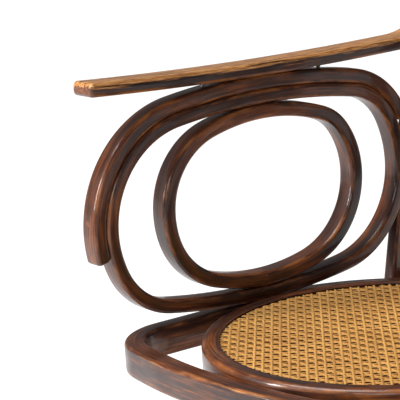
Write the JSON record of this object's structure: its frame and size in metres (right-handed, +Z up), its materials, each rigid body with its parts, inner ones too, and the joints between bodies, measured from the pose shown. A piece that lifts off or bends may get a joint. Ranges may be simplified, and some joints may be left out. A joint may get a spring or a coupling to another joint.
{
  "type": "rocking chair",
  "caption": "Bentwood rocking armchair: round caned seat in a rounded hoop, arms made of nested oval rings, an oval back and two curved runners.",
  "frame": {"origin": "on the floor, midway between the two points where the runners touch it", "axes": "+Z up, the chair faces -Y, +X is to its left as it sits; seen from the front, +X is on the right"},
  "size_m": [0.5712, 0.8938, 0.9658],
  "materials": {
    "bentwood": "dark brown polished bentwood",
    "block_wood": "dark brown stained block",
    "plug_wood": "brown end-grain plug",
    "cane": "woven golden cane",
    "reed": "dark stained reed",
    "steel": "worn steel"
  },
  "bodies": {
    "root": {"arm_band_left": "bentwood", "arm_band_right": "bentwood", "arm_large_oval_left": "bentwood", "arm_large_oval_right": "bentwood", "arm_plugs": "plug_wood", "arm_rest_left": "bentwood", "arm_rest_right": "bentwood", "arm_screws": "steel", "arm_small_oval_left": "bentwood", "arm_small_oval_right": "bentwood", "back_bow": "bentwood", "back_large_oval": "bentwood", "back_leg_left": "bentwood", "back_leg_right": "bentwood", "back_plug": "plug_wood", "back_rail": "bentwood", "back_screws": "steel", "back_small_oval": "bentwood", "back_stretcher": "bentwood", "cane_panel": "cane", "cane_reed": "reed", "front_leg_left": "bentwood", "front_leg_right": "bentwood", "front_stretcher": "bentwood", "hoop_screws": "steel", "post_bolts": "steel", "post_screws": "steel", "runner_left": "bentwood", "runner_plugs": "plug_wood", "runner_right": "bentwood", "runner_screws": "steel", "seat_frame": "bentwood", "seat_hoop": "bentwood", "seat_screws": "steel", "seat_spacer_left": "block_wood", "seat_spacer_right": "block_wood"}
  },
  "joints": []
}
